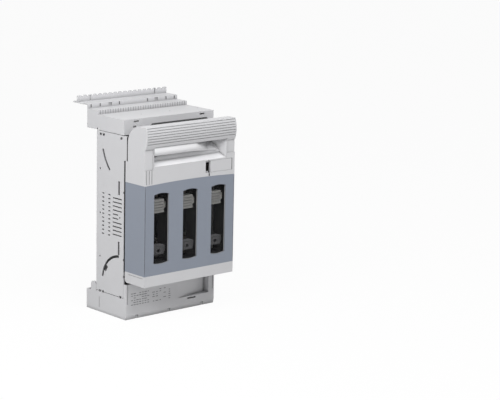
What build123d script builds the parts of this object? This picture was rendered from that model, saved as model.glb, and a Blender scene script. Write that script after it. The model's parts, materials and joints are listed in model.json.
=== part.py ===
"""Three-pole fuse switch disconnector that hooks onto three parallel busbars.

Frame: X to the right, Y to the back, Z up, in millimetres. The origin lies on the standing surface,
under the middle of the overall box. The lid's face looks towards -Y and the busbars run along X
behind the housing.
"""
import os
from math import degrees, hypot

from build123d import *

# Walls and clearances
WALL = 2.5
LID_WALL = 3.0
SKIN = 1.4
THIN = 2.0
GAP = 0.3
JOINT_GAP = 0.8
RUNNING = 0.05

# Pole spacing, and the width over the two outer bays
POLE_PITCH = 58.8
POLES = [(1, -POLE_PITCH), (2, 0.0), (3, POLE_PITCH)]
WIDTH = 3 * POLE_PITCH + 3 * WALL + 2 * RUNNING
HALF = WIDTH / 2

# Heights above the standing surface
BASE_JOINT_Z = 35.3
FLOOR_Z = 58.5
LID_BOTTOM_Z = 62.7
PANEL_BOTTOM_Z = 80.4
PANEL_TOP_Z = 225.6
LID_STEP_Z = 259.0
TOP_JOINT_Z = 298.0
LID_TOP_Z = 318.0
COVER_HEIGHT = 25.0
TRAY_RISE = 6.5
COMB_STEP = 7.0
COMB_RISE = 10.0
COVER_TOP_Z = TOP_JOINT_Z + COVER_HEIGHT
TRAY_Z = COVER_TOP_Z + TRAY_RISE
COMB_PLATE_Z = TRAY_Z + COMB_STEP
COMB_TOP_Z = COMB_PLATE_Z + COMB_RISE

# Depths, front to back
LID_FRONT_Y = -94.5
LID_UPPER_BACK_Y = -50.0
LID_BACK_Y = -44.5
APRON_FRONT_Y = -48.5
BODY_FRONT_Y = -41.0
BODY_UPPER_FRONT_Y = -47.5
TOP_COVER_FRONT_Y = -40.0
PLATE_FRONT_Y = 0.0
BODY_BACK_Y = 30.5
RISER_Y = 28.5
COVER_BACK_Y = 56.5
COMB_BACK_Y = 94.5

# Busbars and the copper that meets them
BAR_PITCH = 60.0
BAR_LOW_Z = 101.0
BAR_HEIGHT = 30.0
BAR_THICK = 10.0
STRIP_THICK = 4.0
STRIP_WIDTH = 22.0
CLAW_THICK = 4.0
CLAW_LIP = 8.0

# Fuse bays
FUSE_MID_Z = 154.5
JAW_OFFSET = 52.0
JAW_HEIGHT = 24.0
JAW_THICK = 2.0
JAW_REACH = 50.0
JAW_THROAT = 3.5
JAW_BELLY = 15.0
JAW_MOUTH = 11.0

# Terminals for the outgoing cables
TERMINAL_Z = 272.0
TERMINAL_TOP_Z = 288.0
TERMINAL_HOLE_R = 5.25
STUD_R = 5.0
STUD_HEAD_R = 9.0
STUD_HEAD = 6.5
WASHER_R = 10.5
WASHER = 2.0

# Lid hinge
HINGE_Z = 68.7
HEEL_R = HINGE_Z - LID_BOTTOM_Z
HINGE_Y = LID_BACK_Y - HEEL_R
PIN_R = 2.5
EAR_R = 5.0
EAR_THICK = 5.5
BOSS = 2.7
BOSS_IN_X = HALF - LID_WALL - BOSS
EAR_OUT_X = BOSS_IN_X - GAP
NOTCH_SIDE = 0.6

# Lid front
CROWN_R = 30.5
PANEL_ARCH = 2.6
WINDOW_HALF = 14.9
WINDOW_LOW_Z = 99.7
WINDOW_HIGH_Z = 209.6
WINDOW_ARCH = 2.4
WINDOW_BOW = 2.0
PANE = 1.5
PANE_LAP = 3.0
BAND_LOW_Z = 283.0
BAND_BULGE = 3.5
BAND_GROOVES = 7
GROOVE_SPACING = 4.18
GROOVE_MID_Z = 303.75
GROOVE_WIDTH = 1.1
GROOVE_DEPTH = 0.8
GROOVE_END = 2.0
TOP_SLOT_END = 34.0
TOP_SLOT_Y = -65.5
TOP_SLOT_DEPTH = 6.0

# Finger pocket in the lid
STRIP_SIDE = 16.0
POCKET_HALF = HALF - STRIP_SIDE - LID_WALL / 2
POCKET_LOW_Z = 254.5
POCKET_HEIGHT = 31.0
POCKET_HIGH_Z = POCKET_LOW_Z + POCKET_HEIGHT
POCKET_DEPTH = 33.0
POCKET_BLEND = 24.0
POCKET_WALL = 2.5

# Sliding lock
LOCK_MARGIN = 6.5
LOCK_LENGTH = 44.5
LOCK_RIGHT_X = HALF - LOCK_MARGIN
LOCK_LEFT_X = LOCK_RIGHT_X - LOCK_LENGTH
LOCK_LOW_Z = 234.0
LOCK_HEIGHT = 18.5
LOCK_HIGH_Z = LOCK_LOW_Z + LOCK_HEIGHT
LOCK_TRAVEL = 8.0
LOCK_THICK = 1.6
LOCK_STEM = 6.0
LOCK_FOOT = 10.0
LOCK_FOOT_THICK = 1.5


def front_plane(y):
    """Sketch plane seen from the front: its x is X and its y is Z. A positive extrusion goes to -Y."""
    return Plane.XZ.offset(-y)


def side_plane(x):
    """Sketch plane seen from the right: its x is Y and its y is Z. A positive extrusion goes to +X."""
    return Plane.YZ.offset(x)


def area(low, high):
    """A rectangle between two corners of the sketch."""
    with Locations(((low[0] + high[0]) / 2, (low[1] + high[1]) / 2)):
        Rectangle(high[0] - low[0], high[1] - low[1])


def small_hole(radius, mode=Mode.ADD):
    """A hole of twelve sides, as wide across its flats as a round one of this radius."""
    RegularPolygon(radius, 12, major_radius=False, mode=mode)


def small_rod(radius):
    """The section of a rod of twelve sides that just fits inside a round one of this radius."""
    RegularPolygon(radius, 12)


def keep(piece, name):
    """Label a finished piece and write it under its node's name."""
    piece.part.label = name
    export_step(piece.part, f"parts/{name}.step")


os.makedirs("parts", exist_ok=True)

# Side walls

VENT_ROWS = 11
VENT_SPACING = 6.6
VENT_MID_Z = 165.0
VENT_HEIGHT = 1.8
SHORT_VENT = 5.5
SHORT_VENT_Y = 4.9
SHORT_VENT_PITCH = 16.2
LONG_VENT = 23.3
LONG_VENT_BACK_Y = -12.2
CUT_VENT = 14.0
PEG_Y = -30.5
RIVET_Y = 21.0
RIVET_PITCH = 72.0
RIVET_R = 1.5
SNAP = 5.0
SNAP_HEIGHT = 4.0
SNAP_YS = (-33.2, 12.5, 20.5)
SNAP_IN = 5.0
GUIDE_Y = -28.0
GUIDE_HEIGHT = 22.0
GUIDE_WIDTH = 4.2
GUIDE_PITCH = 98.1
GUIDE_MID_Z = 163.45
TRACK_WIDTH = 4.2
UPPER_TRACK = [(14.2, 269.9), (8.1, 254.5), (-3.7, 237.9)]
LOWER_TRACK = [(-28.8, 100.9), (1.4, 87.2), (13.7, 61.0)]
TRACK_LUG = [(1.6, 80.2), (8.2, 71.0)]
TRACK_LUG_WIDTH = 5.4
EDGE_NOTCHES = (70.0, 98.0, 207.0)
EDGE_NOTCH_R = 2.0


def side_wall(side):
    """One flat side wall; side is -1 on the left and +1 on the right."""
    with BuildPart() as wall:
        with BuildSketch(side_plane(side * HALF)):
            Polygon(
                (BODY_FRONT_Y, BASE_JOINT_Z),
                (BODY_BACK_Y, BASE_JOINT_Z),
                (BODY_BACK_Y, TOP_JOINT_Z),
                (BODY_UPPER_FRONT_Y, TOP_JOINT_Z),
                (BODY_UPPER_FRONT_Y, LID_STEP_Z),
                (BODY_FRONT_Y, LID_STEP_Z),
                align=None,
            )
        extrude(amount=-side * WALL)
        with BuildSketch(side_plane(side * HALF)):
            with Locations((SHORT_VENT_Y, VENT_MID_Z)):
                with GridLocations(SHORT_VENT_PITCH, VENT_SPACING, 2, VENT_ROWS):
                    Rectangle(SHORT_VENT, VENT_HEIGHT)
            long_rows = (VENT_ROWS - 3) // 2
            for way in (-1, 1):
                block_z = VENT_MID_Z + way * (long_rows + 1) / 2 * VENT_SPACING + way * VENT_SPACING / 2
                with Locations((LONG_VENT_BACK_Y - LONG_VENT / 2, block_z)):
                    with GridLocations(0, VENT_SPACING, 1, long_rows):
                        Rectangle(LONG_VENT, VENT_HEIGHT)
            with Locations((LONG_VENT_BACK_Y - CUT_VENT / 2, VENT_MID_Z)):
                with GridLocations(0, VENT_SPACING, 1, 2):
                    Rectangle(CUT_VENT, VENT_HEIGHT)
            with Locations((RIVET_Y, VENT_MID_Z)):
                with GridLocations(0, RIVET_PITCH, 1, 3):
                    small_hole(RIVET_R)
            with Locations((PEG_Y, VENT_MID_Z)):
                small_hole(RIVET_R)
            with BuildLine():
                ThreePointArc(*UPPER_TRACK)
                ThreePointArc(*LOWER_TRACK)
            trace(line_width=TRACK_WIDTH)
            with BuildLine():
                Line(*TRACK_LUG)
            trace(line_width=TRACK_LUG_WIDTH)
            with Locations(*[(BODY_FRONT_Y, z) for z in EDGE_NOTCHES]):
                RegularPolygon(EDGE_NOTCH_R, 8)
            with Locations((GUIDE_Y, GUIDE_MID_Z)):
                with GridLocations(0, GUIDE_PITCH, 1, 2):
                    Rectangle(GUIDE_WIDTH, GUIDE_HEIGHT)
            snap_zs = (BASE_JOINT_Z, TOP_JOINT_Z - SNAP_IN)
            with Locations(*[(y, z) for y in SNAP_YS for z in snap_zs]):
                Rectangle(SNAP, SNAP_HEIGHT)
        extrude(amount=-side * WALL, mode=Mode.SUBTRACT)
    return wall


keep(side_wall(-1), "side_wall_left")
keep(side_wall(1), "side_wall_right")

# Chassis: back plate, walls between the poles, rear ribs, floor and hinge ears

PLATE = 3.0
PLATE_LOW_Z = 38.0
CHASSIS_TOP_Z = 294.0
INNER_HALF = HALF - WALL
NECK_LOW_Z = 76.0
NECK_HEIGHT = 8.0
EAR_ROOT_Y = -20.0
REAR_STRIP_Y = 23.0
CLAW_FACE_Y = REAR_STRIP_Y + STRIP_THICK
BAR_FRONT_Y = CLAW_FACE_Y + CLAW_THICK
BAR_BACK_Y = BAR_FRONT_Y + BAR_THICK
SCREW_SIDE = 3.5
SCREW_ROOM = 0.5
SCREW_R = 3.0
SCREW_HEAD_R = 5.0
SCREW_X = STRIP_WIDTH / 2 + SCREW_ROOM + SCREW_HEAD_R
CLAW_WIDTH = 2 * (SCREW_X + SCREW_SIDE)
SCREW_HEAD = 4.0
SCREW_UP = 4.0


def bar_z(pole):
    """Height of the middle of the busbar that a pole's claw hooks onto."""
    return BAR_LOW_Z + BAR_PITCH * (pole - 1)


with BuildPart() as chassis:
    with BuildSketch(Plane.XY.offset(PLATE_LOW_Z)):
        area((-INNER_HALF, PLATE_FRONT_Y), (INNER_HALF, PLATE_FRONT_Y + PLATE))
        with Locations((0, (PLATE_FRONT_Y + BODY_BACK_Y) / 2)):
            with GridLocations(2 * INNER_HALF - WALL, 0, 2, 1):
                Rectangle(WALL, BODY_BACK_Y - PLATE_FRONT_Y)
            with GridLocations(POLE_PITCH, 0, 2, 1):
                Rectangle(WALL, BODY_BACK_Y - PLATE_FRONT_Y)
    extrude(amount=CHASSIS_TOP_Z - PLATE_LOW_Z)
    with BuildSketch(Plane.XY.offset(FLOOR_Z)):
        with Locations((0, (BODY_FRONT_Y + PLATE_FRONT_Y) / 2)):
            with GridLocations(POLE_PITCH, 0, 2, 1):
                Rectangle(WALL, PLATE_FRONT_Y - BODY_FRONT_Y)
    extrude(amount=CHASSIS_TOP_Z - FLOOR_Z)
    with BuildSketch(Plane.XY.offset(FLOOR_Z)):
        area((-INNER_HALF, BODY_FRONT_Y), (INNER_HALF, PLATE_FRONT_Y))
    extrude(amount=WALL)
    with BuildSketch(side_plane(EAR_OUT_X - EAR_THICK)):
        area((BODY_FRONT_Y, FLOOR_Z), (EAR_ROOT_Y, HINGE_Z))
        area((HINGE_Y, HINGE_Z - EAR_R), (EAR_ROOT_Y, HINGE_Z + EAR_R))
        with Locations((HINGE_Y, HINGE_Z)):
            Circle(EAR_R)
            Circle(PIN_R + RUNNING, mode=Mode.SUBTRACT)
    ear = extrude(amount=EAR_THICK)
    mirror(ear, about=Plane.YZ)
    with BuildSketch(front_plane(PLATE_FRONT_Y)):
        for pole, x in POLES:
            with Locations((x, NECK_LOW_Z + NECK_HEIGHT / 2)):
                Rectangle(STRIP_WIDTH + 2 * GAP, NECK_HEIGHT + 2 * GAP)
            with Locations((x + SCREW_X, bar_z(pole) + SCREW_UP)):
                small_hole(SCREW_R + GAP)
            with Locations((x, TERMINAL_Z)):
                small_hole(STUD_R + GAP)
    extrude(amount=-PLATE, mode=Mode.SUBTRACT)

keep(chassis, "chassis")

# Contacts: a sprung jaw on a copper strip, at the top and at the bottom of each fuse bay

JAW_NECK = 18.0
JAW_PINCH = 38.0
JAW_BEND = 6.0
JAW_ROOT = 1.0
STRIP_FACE_Y = PLATE_FRONT_Y - STRIP_THICK
UPPER_JAW_Z = FUSE_MID_Z + JAW_OFFSET
LOWER_JAW_Z = FUSE_MID_Z - JAW_OFFSET


def jaw(x, mid_z):
    """Two cheeks that grip a fuse blade between them, open to the front."""
    with BuildPart() as cheeks:
        with BuildSketch(Plane((x, STRIP_FACE_Y, mid_z - JAW_HEIGHT / 2))):
            with BuildLine():
                FilletPolyline(
                    (JAW_BELLY / 2, JAW_ROOT),
                    (JAW_BELLY / 2, -JAW_NECK),
                    ((JAW_THROAT + JAW_THICK) / 2, -JAW_PINCH),
                    (JAW_MOUTH / 2, -JAW_REACH),
                    radius=JAW_BEND,
                )
            trace(line_width=JAW_THICK)
            mirror(about=Plane.YZ)
        extrude(amount=JAW_HEIGHT)
    return cheeks.part


for pole, x in POLES:
    upper_jaw = jaw(x, UPPER_JAW_Z)
    with BuildPart() as upper_contact:
        with BuildSketch(front_plane(PLATE_FRONT_Y)):
            area((x - STRIP_WIDTH / 2, UPPER_JAW_Z - JAW_HEIGHT / 2), (x + STRIP_WIDTH / 2, TERMINAL_TOP_Z))
            with Locations((x, TERMINAL_Z)):
                small_hole(TERMINAL_HOLE_R, Mode.SUBTRACT)
        extrude(amount=STRIP_THICK)
        add(upper_jaw)
    keep(upper_contact, f"upper_contact_{pole}")

    strip_top = bar_z(pole) + BAR_HEIGHT / 2
    lower_jaw = jaw(x, LOWER_JAW_Z)
    with BuildPart() as lower_contact:
        with BuildSketch(side_plane(x - STRIP_WIDTH / 2)):
            Polygon(
                (STRIP_FACE_Y, NECK_LOW_Z),
                (STRIP_FACE_Y, LOWER_JAW_Z + JAW_HEIGHT / 2),
                (PLATE_FRONT_Y, LOWER_JAW_Z + JAW_HEIGHT / 2),
                (PLATE_FRONT_Y, NECK_LOW_Z + NECK_HEIGHT),
                (REAR_STRIP_Y, NECK_LOW_Z + NECK_HEIGHT),
                (REAR_STRIP_Y, strip_top),
                (CLAW_FACE_Y, strip_top),
                (CLAW_FACE_Y, NECK_LOW_Z),
                align=None,
            )
        extrude(amount=STRIP_WIDTH)
        add(lower_jaw)
    keep(lower_contact, f"lower_contact_{pole}")

# Arc chutes: a stack of notched plates between two cheeks around each jaw

CHUTE_PLATES = 5
CHUTE_PITCH = 6.0
CHUTE_PLATE = 1.2
CHUTE_FIRST_Y = -10.0
CHUTE_FRONT_Y = -38.0
CHUTE_CHEEK = 2.0
CHUTE_NOTCH = 23.0
CHUTE_INNER = 16.0
CHUTE_OUTER = 26.0
CHUTE_BRIDGE = 10.0
BAY_HALF = (POLE_PITCH - WALL) / 2


def arc_chute(x, mid_z, way):
    """way is +1 where the notches open downwards and -1 where they open upwards."""
    inner_z = mid_z - way * CHUTE_INNER
    outer_z = mid_z + way * CHUTE_OUTER
    bridge_z = outer_z - way * CHUTE_BRIDGE
    with BuildPart() as chute:
        for side in (-1, 1):
            with BuildSketch(side_plane(x + side * BAY_HALF)):
                area((CHUTE_FRONT_Y, min(inner_z, outer_z)), (PLATE_FRONT_Y, max(inner_z, outer_z)))
            extrude(amount=-side * CHUTE_CHEEK)
        for number in range(CHUTE_PLATES):
            with BuildSketch(front_plane(CHUTE_FIRST_Y - number * CHUTE_PITCH)):
                Polygon(
                    (x - BAY_HALF + CHUTE_CHEEK, inner_z),
                    (x - CHUTE_NOTCH / 2, inner_z),
                    (x - CHUTE_NOTCH / 2, bridge_z),
                    (x + CHUTE_NOTCH / 2, bridge_z),
                    (x + CHUTE_NOTCH / 2, inner_z),
                    (x + BAY_HALF - CHUTE_CHEEK, inner_z),
                    (x + BAY_HALF - CHUTE_CHEEK, outer_z),
                    (x - BAY_HALF + CHUTE_CHEEK, outer_z),
                    align=None,
                )
            extrude(amount=CHUTE_PLATE)
    return chute


for pole, x in POLES:
    keep(arc_chute(x, UPPER_JAW_Z, 1), f"arc_chute_upper_{pole}")
    keep(arc_chute(x, LOWER_JAW_Z, -1), f"arc_chute_lower_{pole}")

# Cable terminals: a hexagon bolt with its washer in front and a nut behind the plate

NUT_R = 9.2
NUT = 8.0
WASHER_SIDES = 24
STUD_TIP = 2.0


def facing(x, y, z):
    """Sketch plane centred on a point and facing the front."""
    return Plane((x, y, z), x_dir=(1, 0, 0), z_dir=(0, -1, 0))


for pole, x in POLES:
    with BuildPart() as terminal_bolt:
        with BuildSketch(facing(x, STRIP_FACE_Y, TERMINAL_Z)):
            RegularPolygon(WASHER_R, WASHER_SIDES)
        extrude(amount=WASHER)
        with BuildSketch(facing(x, STRIP_FACE_Y - WASHER, TERMINAL_Z)):
            RegularPolygon(STUD_HEAD_R, 6)
        extrude(amount=STUD_HEAD)
        with BuildSketch(facing(x, STRIP_FACE_Y, TERMINAL_Z)):
            small_rod(STUD_R)
        extrude(amount=-(STRIP_THICK + PLATE + NUT + STUD_TIP))
    keep(terminal_bolt, f"terminal_bolt_{pole}")

    with BuildPart() as terminal_nut:
        with BuildSketch(facing(x, PLATE_FRONT_Y + PLATE, TERMINAL_Z)):
            RegularPolygon(NUT_R, 6)
            small_hole(STUD_R + RUNNING, Mode.SUBTRACT)
        extrude(amount=-NUT)
    keep(terminal_nut, f"terminal_nut_{pole}")

# Busbar claws: each pole's hook reaches over its own bar, held by a screw through the back plate

HOOK_Z = BAR_HEIGHT / 2 + GAP
HOOK_BACK_Y = BAR_BACK_Y + GAP
CLAW_FOOT = 14.0

for pole, x in POLES:
    mid_z = bar_z(pole)
    with BuildPart() as busbar_claw:
        with BuildSketch(side_plane(x - CLAW_WIDTH / 2)):
            Polygon(
                (CLAW_FACE_Y, mid_z - CLAW_FOOT),
                (BAR_FRONT_Y, mid_z - CLAW_FOOT),
                (BAR_FRONT_Y, mid_z + HOOK_Z),
                (HOOK_BACK_Y, mid_z + HOOK_Z),
                (HOOK_BACK_Y, mid_z + HOOK_Z - CLAW_LIP),
                (HOOK_BACK_Y + CLAW_THICK, mid_z + HOOK_Z - CLAW_LIP),
                (HOOK_BACK_Y + CLAW_THICK, mid_z + HOOK_Z + CLAW_THICK),
                (CLAW_FACE_Y, mid_z + HOOK_Z + CLAW_THICK),
                align=None,
            )
        extrude(amount=CLAW_WIDTH)
        with BuildSketch(facing(x + SCREW_X, CLAW_FACE_Y, mid_z + SCREW_UP)):
            small_hole(SCREW_R + RUNNING)
        extrude(amount=-CLAW_THICK, mode=Mode.SUBTRACT)
    keep(busbar_claw, f"busbar_claw_{pole}")

    with BuildPart() as claw_screw:
        with BuildSketch(facing(x + SCREW_X, PLATE_FRONT_Y, mid_z + SCREW_UP)):
            RegularPolygon(SCREW_HEAD_R, 6)
        extrude(amount=SCREW_HEAD)
        with BuildSketch(facing(x + SCREW_X, PLATE_FRONT_Y, mid_z + SCREW_UP)):
            small_rod(SCREW_R)
        extrude(amount=-(BAR_FRONT_Y - GAP - PLATE_FRONT_Y))
    keep(claw_screw, f"claw_screw_{pole}")

# Top cover: flat plate, stepped tray, rear plate and the comb of break-off teeth

RISER_RIBS = 36
RISER_GROOVE = 1.6
RISER_GROOVE_DEPTH = 0.8
COMB_SETBACK = 10.0
COMB_Y = COMB_BACK_Y - COMB_SETBACK
COMB_TEETH = 18
TOOTH_NOTCH_R = 2.7
COMB_SLIT_END = 25.0
COMB_SLIT = 1.6
COMB_SLIT_DEPTH = 9.0
TRAY_SLOT_ENDS = (6.0, 24.0, 63.0)
TRAY_SLOT = 2.5
TRAY_SLOT_WIDE_END = 44.5
TRAY_SLOT_WIDE = 7.0
TRAY_SLOT_SILL = 1.0
BLIND_SLOT_DEPTH = 1.8
FACE_SLOT_END = 24.5
FACE_SLOT = 10.0
FACE_SLOT_HEIGHT = 2.4
FACE_SLOT_DROP = 4.0
LATCH_SLOT_END = 21.0
LATCH_SLOT = 6.0
LATCH_SLOT_DROP = 12.0
DIMPLE_X = 26.4
DIMPLE_Y = -7.0
DIMPLE_R = 1.5
DIMPLE_DEPTH = 1.0
CATCH_Y = 27.5
CATCH = 5.0
CATCH_HEIGHT = 3.0
TONGUE = 2.5
TONGUE_BACK_Y = -4.0
TONGUE_FRONT_Y = -29.0
TONGUE_DROP = 9.0
TONGUE_X = INNER_HALF - GAP - TONGUE

with BuildPart() as top_cover:
    skirt_z = TOP_JOINT_Z + JOINT_GAP
    with BuildSketch(side_plane(-HALF)):
        Polygon(
            (TOP_COVER_FRONT_Y, skirt_z),
            (TOP_COVER_FRONT_Y, COVER_TOP_Z),
            (RISER_Y, COVER_TOP_Z),
            (RISER_Y, TRAY_Z),
            (COVER_BACK_Y - WALL, TRAY_Z),
            (COVER_BACK_Y - WALL, COMB_PLATE_Z),
            (COMB_BACK_Y, COMB_PLATE_Z),
            (COMB_BACK_Y, COMB_PLATE_Z - THIN),
            (COVER_BACK_Y, COMB_PLATE_Z - THIN),
            (COVER_BACK_Y, skirt_z),
            (COVER_BACK_Y - WALL, skirt_z),
            (COVER_BACK_Y - WALL, TRAY_Z - WALL),
            (RISER_Y + WALL, TRAY_Z - WALL),
            (RISER_Y + WALL, COVER_TOP_Z - WALL),
            (TOP_COVER_FRONT_Y + WALL, COVER_TOP_Z - WALL),
            (TOP_COVER_FRONT_Y + WALL, skirt_z),
            align=None,
        )
        area((COMB_Y - THIN, COMB_PLATE_Z), (COMB_Y, COMB_TOP_Z))
    extrude(amount=WIDTH)
    for side in (-1, 1):
        with BuildSketch(side_plane(side * HALF)):
            area((TOP_COVER_FRONT_Y, skirt_z), (COVER_BACK_Y, COVER_TOP_Z))
            area((RISER_Y, COVER_TOP_Z), (COVER_BACK_Y, TRAY_Z))
            with Locations((CATCH_Y, skirt_z + CATCH_HEIGHT / 2)):
                Rectangle(CATCH, CATCH_HEIGHT, mode=Mode.SUBTRACT)
        extrude(amount=-side * WALL)
        with BuildSketch(side_plane(side * TONGUE_X)):
            area((TONGUE_FRONT_Y, skirt_z - TONGUE_DROP), (TONGUE_BACK_Y, COVER_TOP_Z - WALL))
        extrude(amount=side * TONGUE)
        with BuildSketch(side_plane(side * INNER_HALF)):
            area((TONGUE_FRONT_Y, skirt_z), (TONGUE_BACK_Y, COVER_TOP_Z - WALL))
        extrude(amount=-side * GAP)

    # Break-off teeth along the comb, with a deeper slit near each end
    with BuildSketch(front_plane(COMB_Y)):
        with Locations((0, COMB_TOP_Z)):
            with GridLocations(WIDTH / COMB_TEETH, 0, COMB_TEETH - 1, 1):
                RegularPolygon(TOOTH_NOTCH_R, 6)
            with GridLocations(2 * (HALF - COMB_SLIT_END), 0, 2, 1):
                Rectangle(COMB_SLIT, 2 * COMB_SLIT_DEPTH)
    extrude(amount=THIN, mode=Mode.SUBTRACT)

    # Grooved riser between the flat plate and the tray
    with BuildSketch(Plane.XY.offset(TRAY_Z)):
        with Locations((0, RISER_Y)):
            with GridLocations(WIDTH / RISER_RIBS, 0, RISER_RIBS - 1, 1):
                Rectangle(RISER_GROOVE, 2 * RISER_GROOVE_DEPTH)
    extrude(amount=-TRAY_RISE, mode=Mode.SUBTRACT)

    # Blind slots in the rear wall above the tray, and the slots of the front wall
    with BuildSketch(front_plane(COVER_BACK_Y - WALL)):
        with Locations((0, TRAY_Z + COMB_STEP / 2)):
            for slot_end in TRAY_SLOT_ENDS:
                with GridLocations(2 * (HALF - slot_end), 0, 2, 1):
                    Rectangle(TRAY_SLOT, COMB_STEP - 2 * TRAY_SLOT_SILL)
            with GridLocations(2 * (HALF - TRAY_SLOT_WIDE_END), 0, 2, 1):
                Rectangle(TRAY_SLOT_WIDE, COMB_STEP - 2 * TRAY_SLOT_SILL)
    extrude(amount=-BLIND_SLOT_DEPTH, mode=Mode.SUBTRACT)
    with BuildSketch(front_plane(TOP_COVER_FRONT_Y)):
        with Locations((0, COVER_TOP_Z - FACE_SLOT_DROP)):
            with GridLocations(2 * (HALF - FACE_SLOT_END), 0, 2, 1):
                Rectangle(FACE_SLOT, FACE_SLOT_HEIGHT)
    extrude(amount=-WALL, mode=Mode.SUBTRACT)
    with BuildSketch(front_plane(TOP_COVER_FRONT_Y)):
        with Locations((0, COVER_TOP_Z - LATCH_SLOT_DROP)):
            with GridLocations(2 * (HALF - LATCH_SLOT_END), 0, 2, 1):
                Rectangle(LATCH_SLOT, FACE_SLOT_HEIGHT)
    extrude(amount=-BLIND_SLOT_DEPTH, mode=Mode.SUBTRACT)

    # Moulding dimples on the plate, one beside each pole
    with BuildSketch(Plane.XY.offset(COVER_TOP_Z)):
        with Locations(*[(x + DIMPLE_X, DIMPLE_Y) for _, x in POLES]):
            RegularPolygon(DIMPLE_R, 8)
    extrude(amount=-DIMPLE_DEPTH, mode=Mode.SUBTRACT)

keep(top_cover, "top_cover")

# Bottom cover: floor, side skirts, rear wall and the front apron with its scooped recess

APRON_TOP_Z = 58.0
REAR_SKIRT_Z = 32.0
SCOOP_END = 12.0
SCOOP_LENGTH = 66.0
SCOOP_RIGHT_X = HALF - SCOOP_END
SCOOP_LEFT_X = SCOOP_RIGHT_X - SCOOP_LENGTH
SCOOP_LOW_Z = 20.0
SCOOP_HIGH_Z = 55.0
SCOOP_DEPTH = 12.0
SCOOP_WALL = 2.0
RELEASE_END = 48.0
RELEASE_WIDTH = 18.0
RELEASE_Z = 16.5
RELEASE_HEIGHT = 2.4
SLIT_SIDE = 0.8
SLIT_WIDTH = 1.0
SLIT_LOW_Z = 25.0
SCORE_Y = 22.5
SCORE_LOW_Z = 7.0
SCORE_HIGH_Z = 25.0
SCORE_WIDTH = 1.0
SCORE_DEPTH = 0.8
RIM_NOTCHES = (-0.38, -0.02, 0.36)
RIM_NOTCH = 6.0
RIM_NOTCH_HEIGHT = 6.0
RIM_NOTCH_DEPTH = 2.0
BEVEL = 1.6
BEVEL_HEIGHT = 7.0
KNOB_R = 7.0
KNOB_Z = 41.0
KNOB_Y = BODY_BACK_Y + 2 * GAP + KNOB_R

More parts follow.
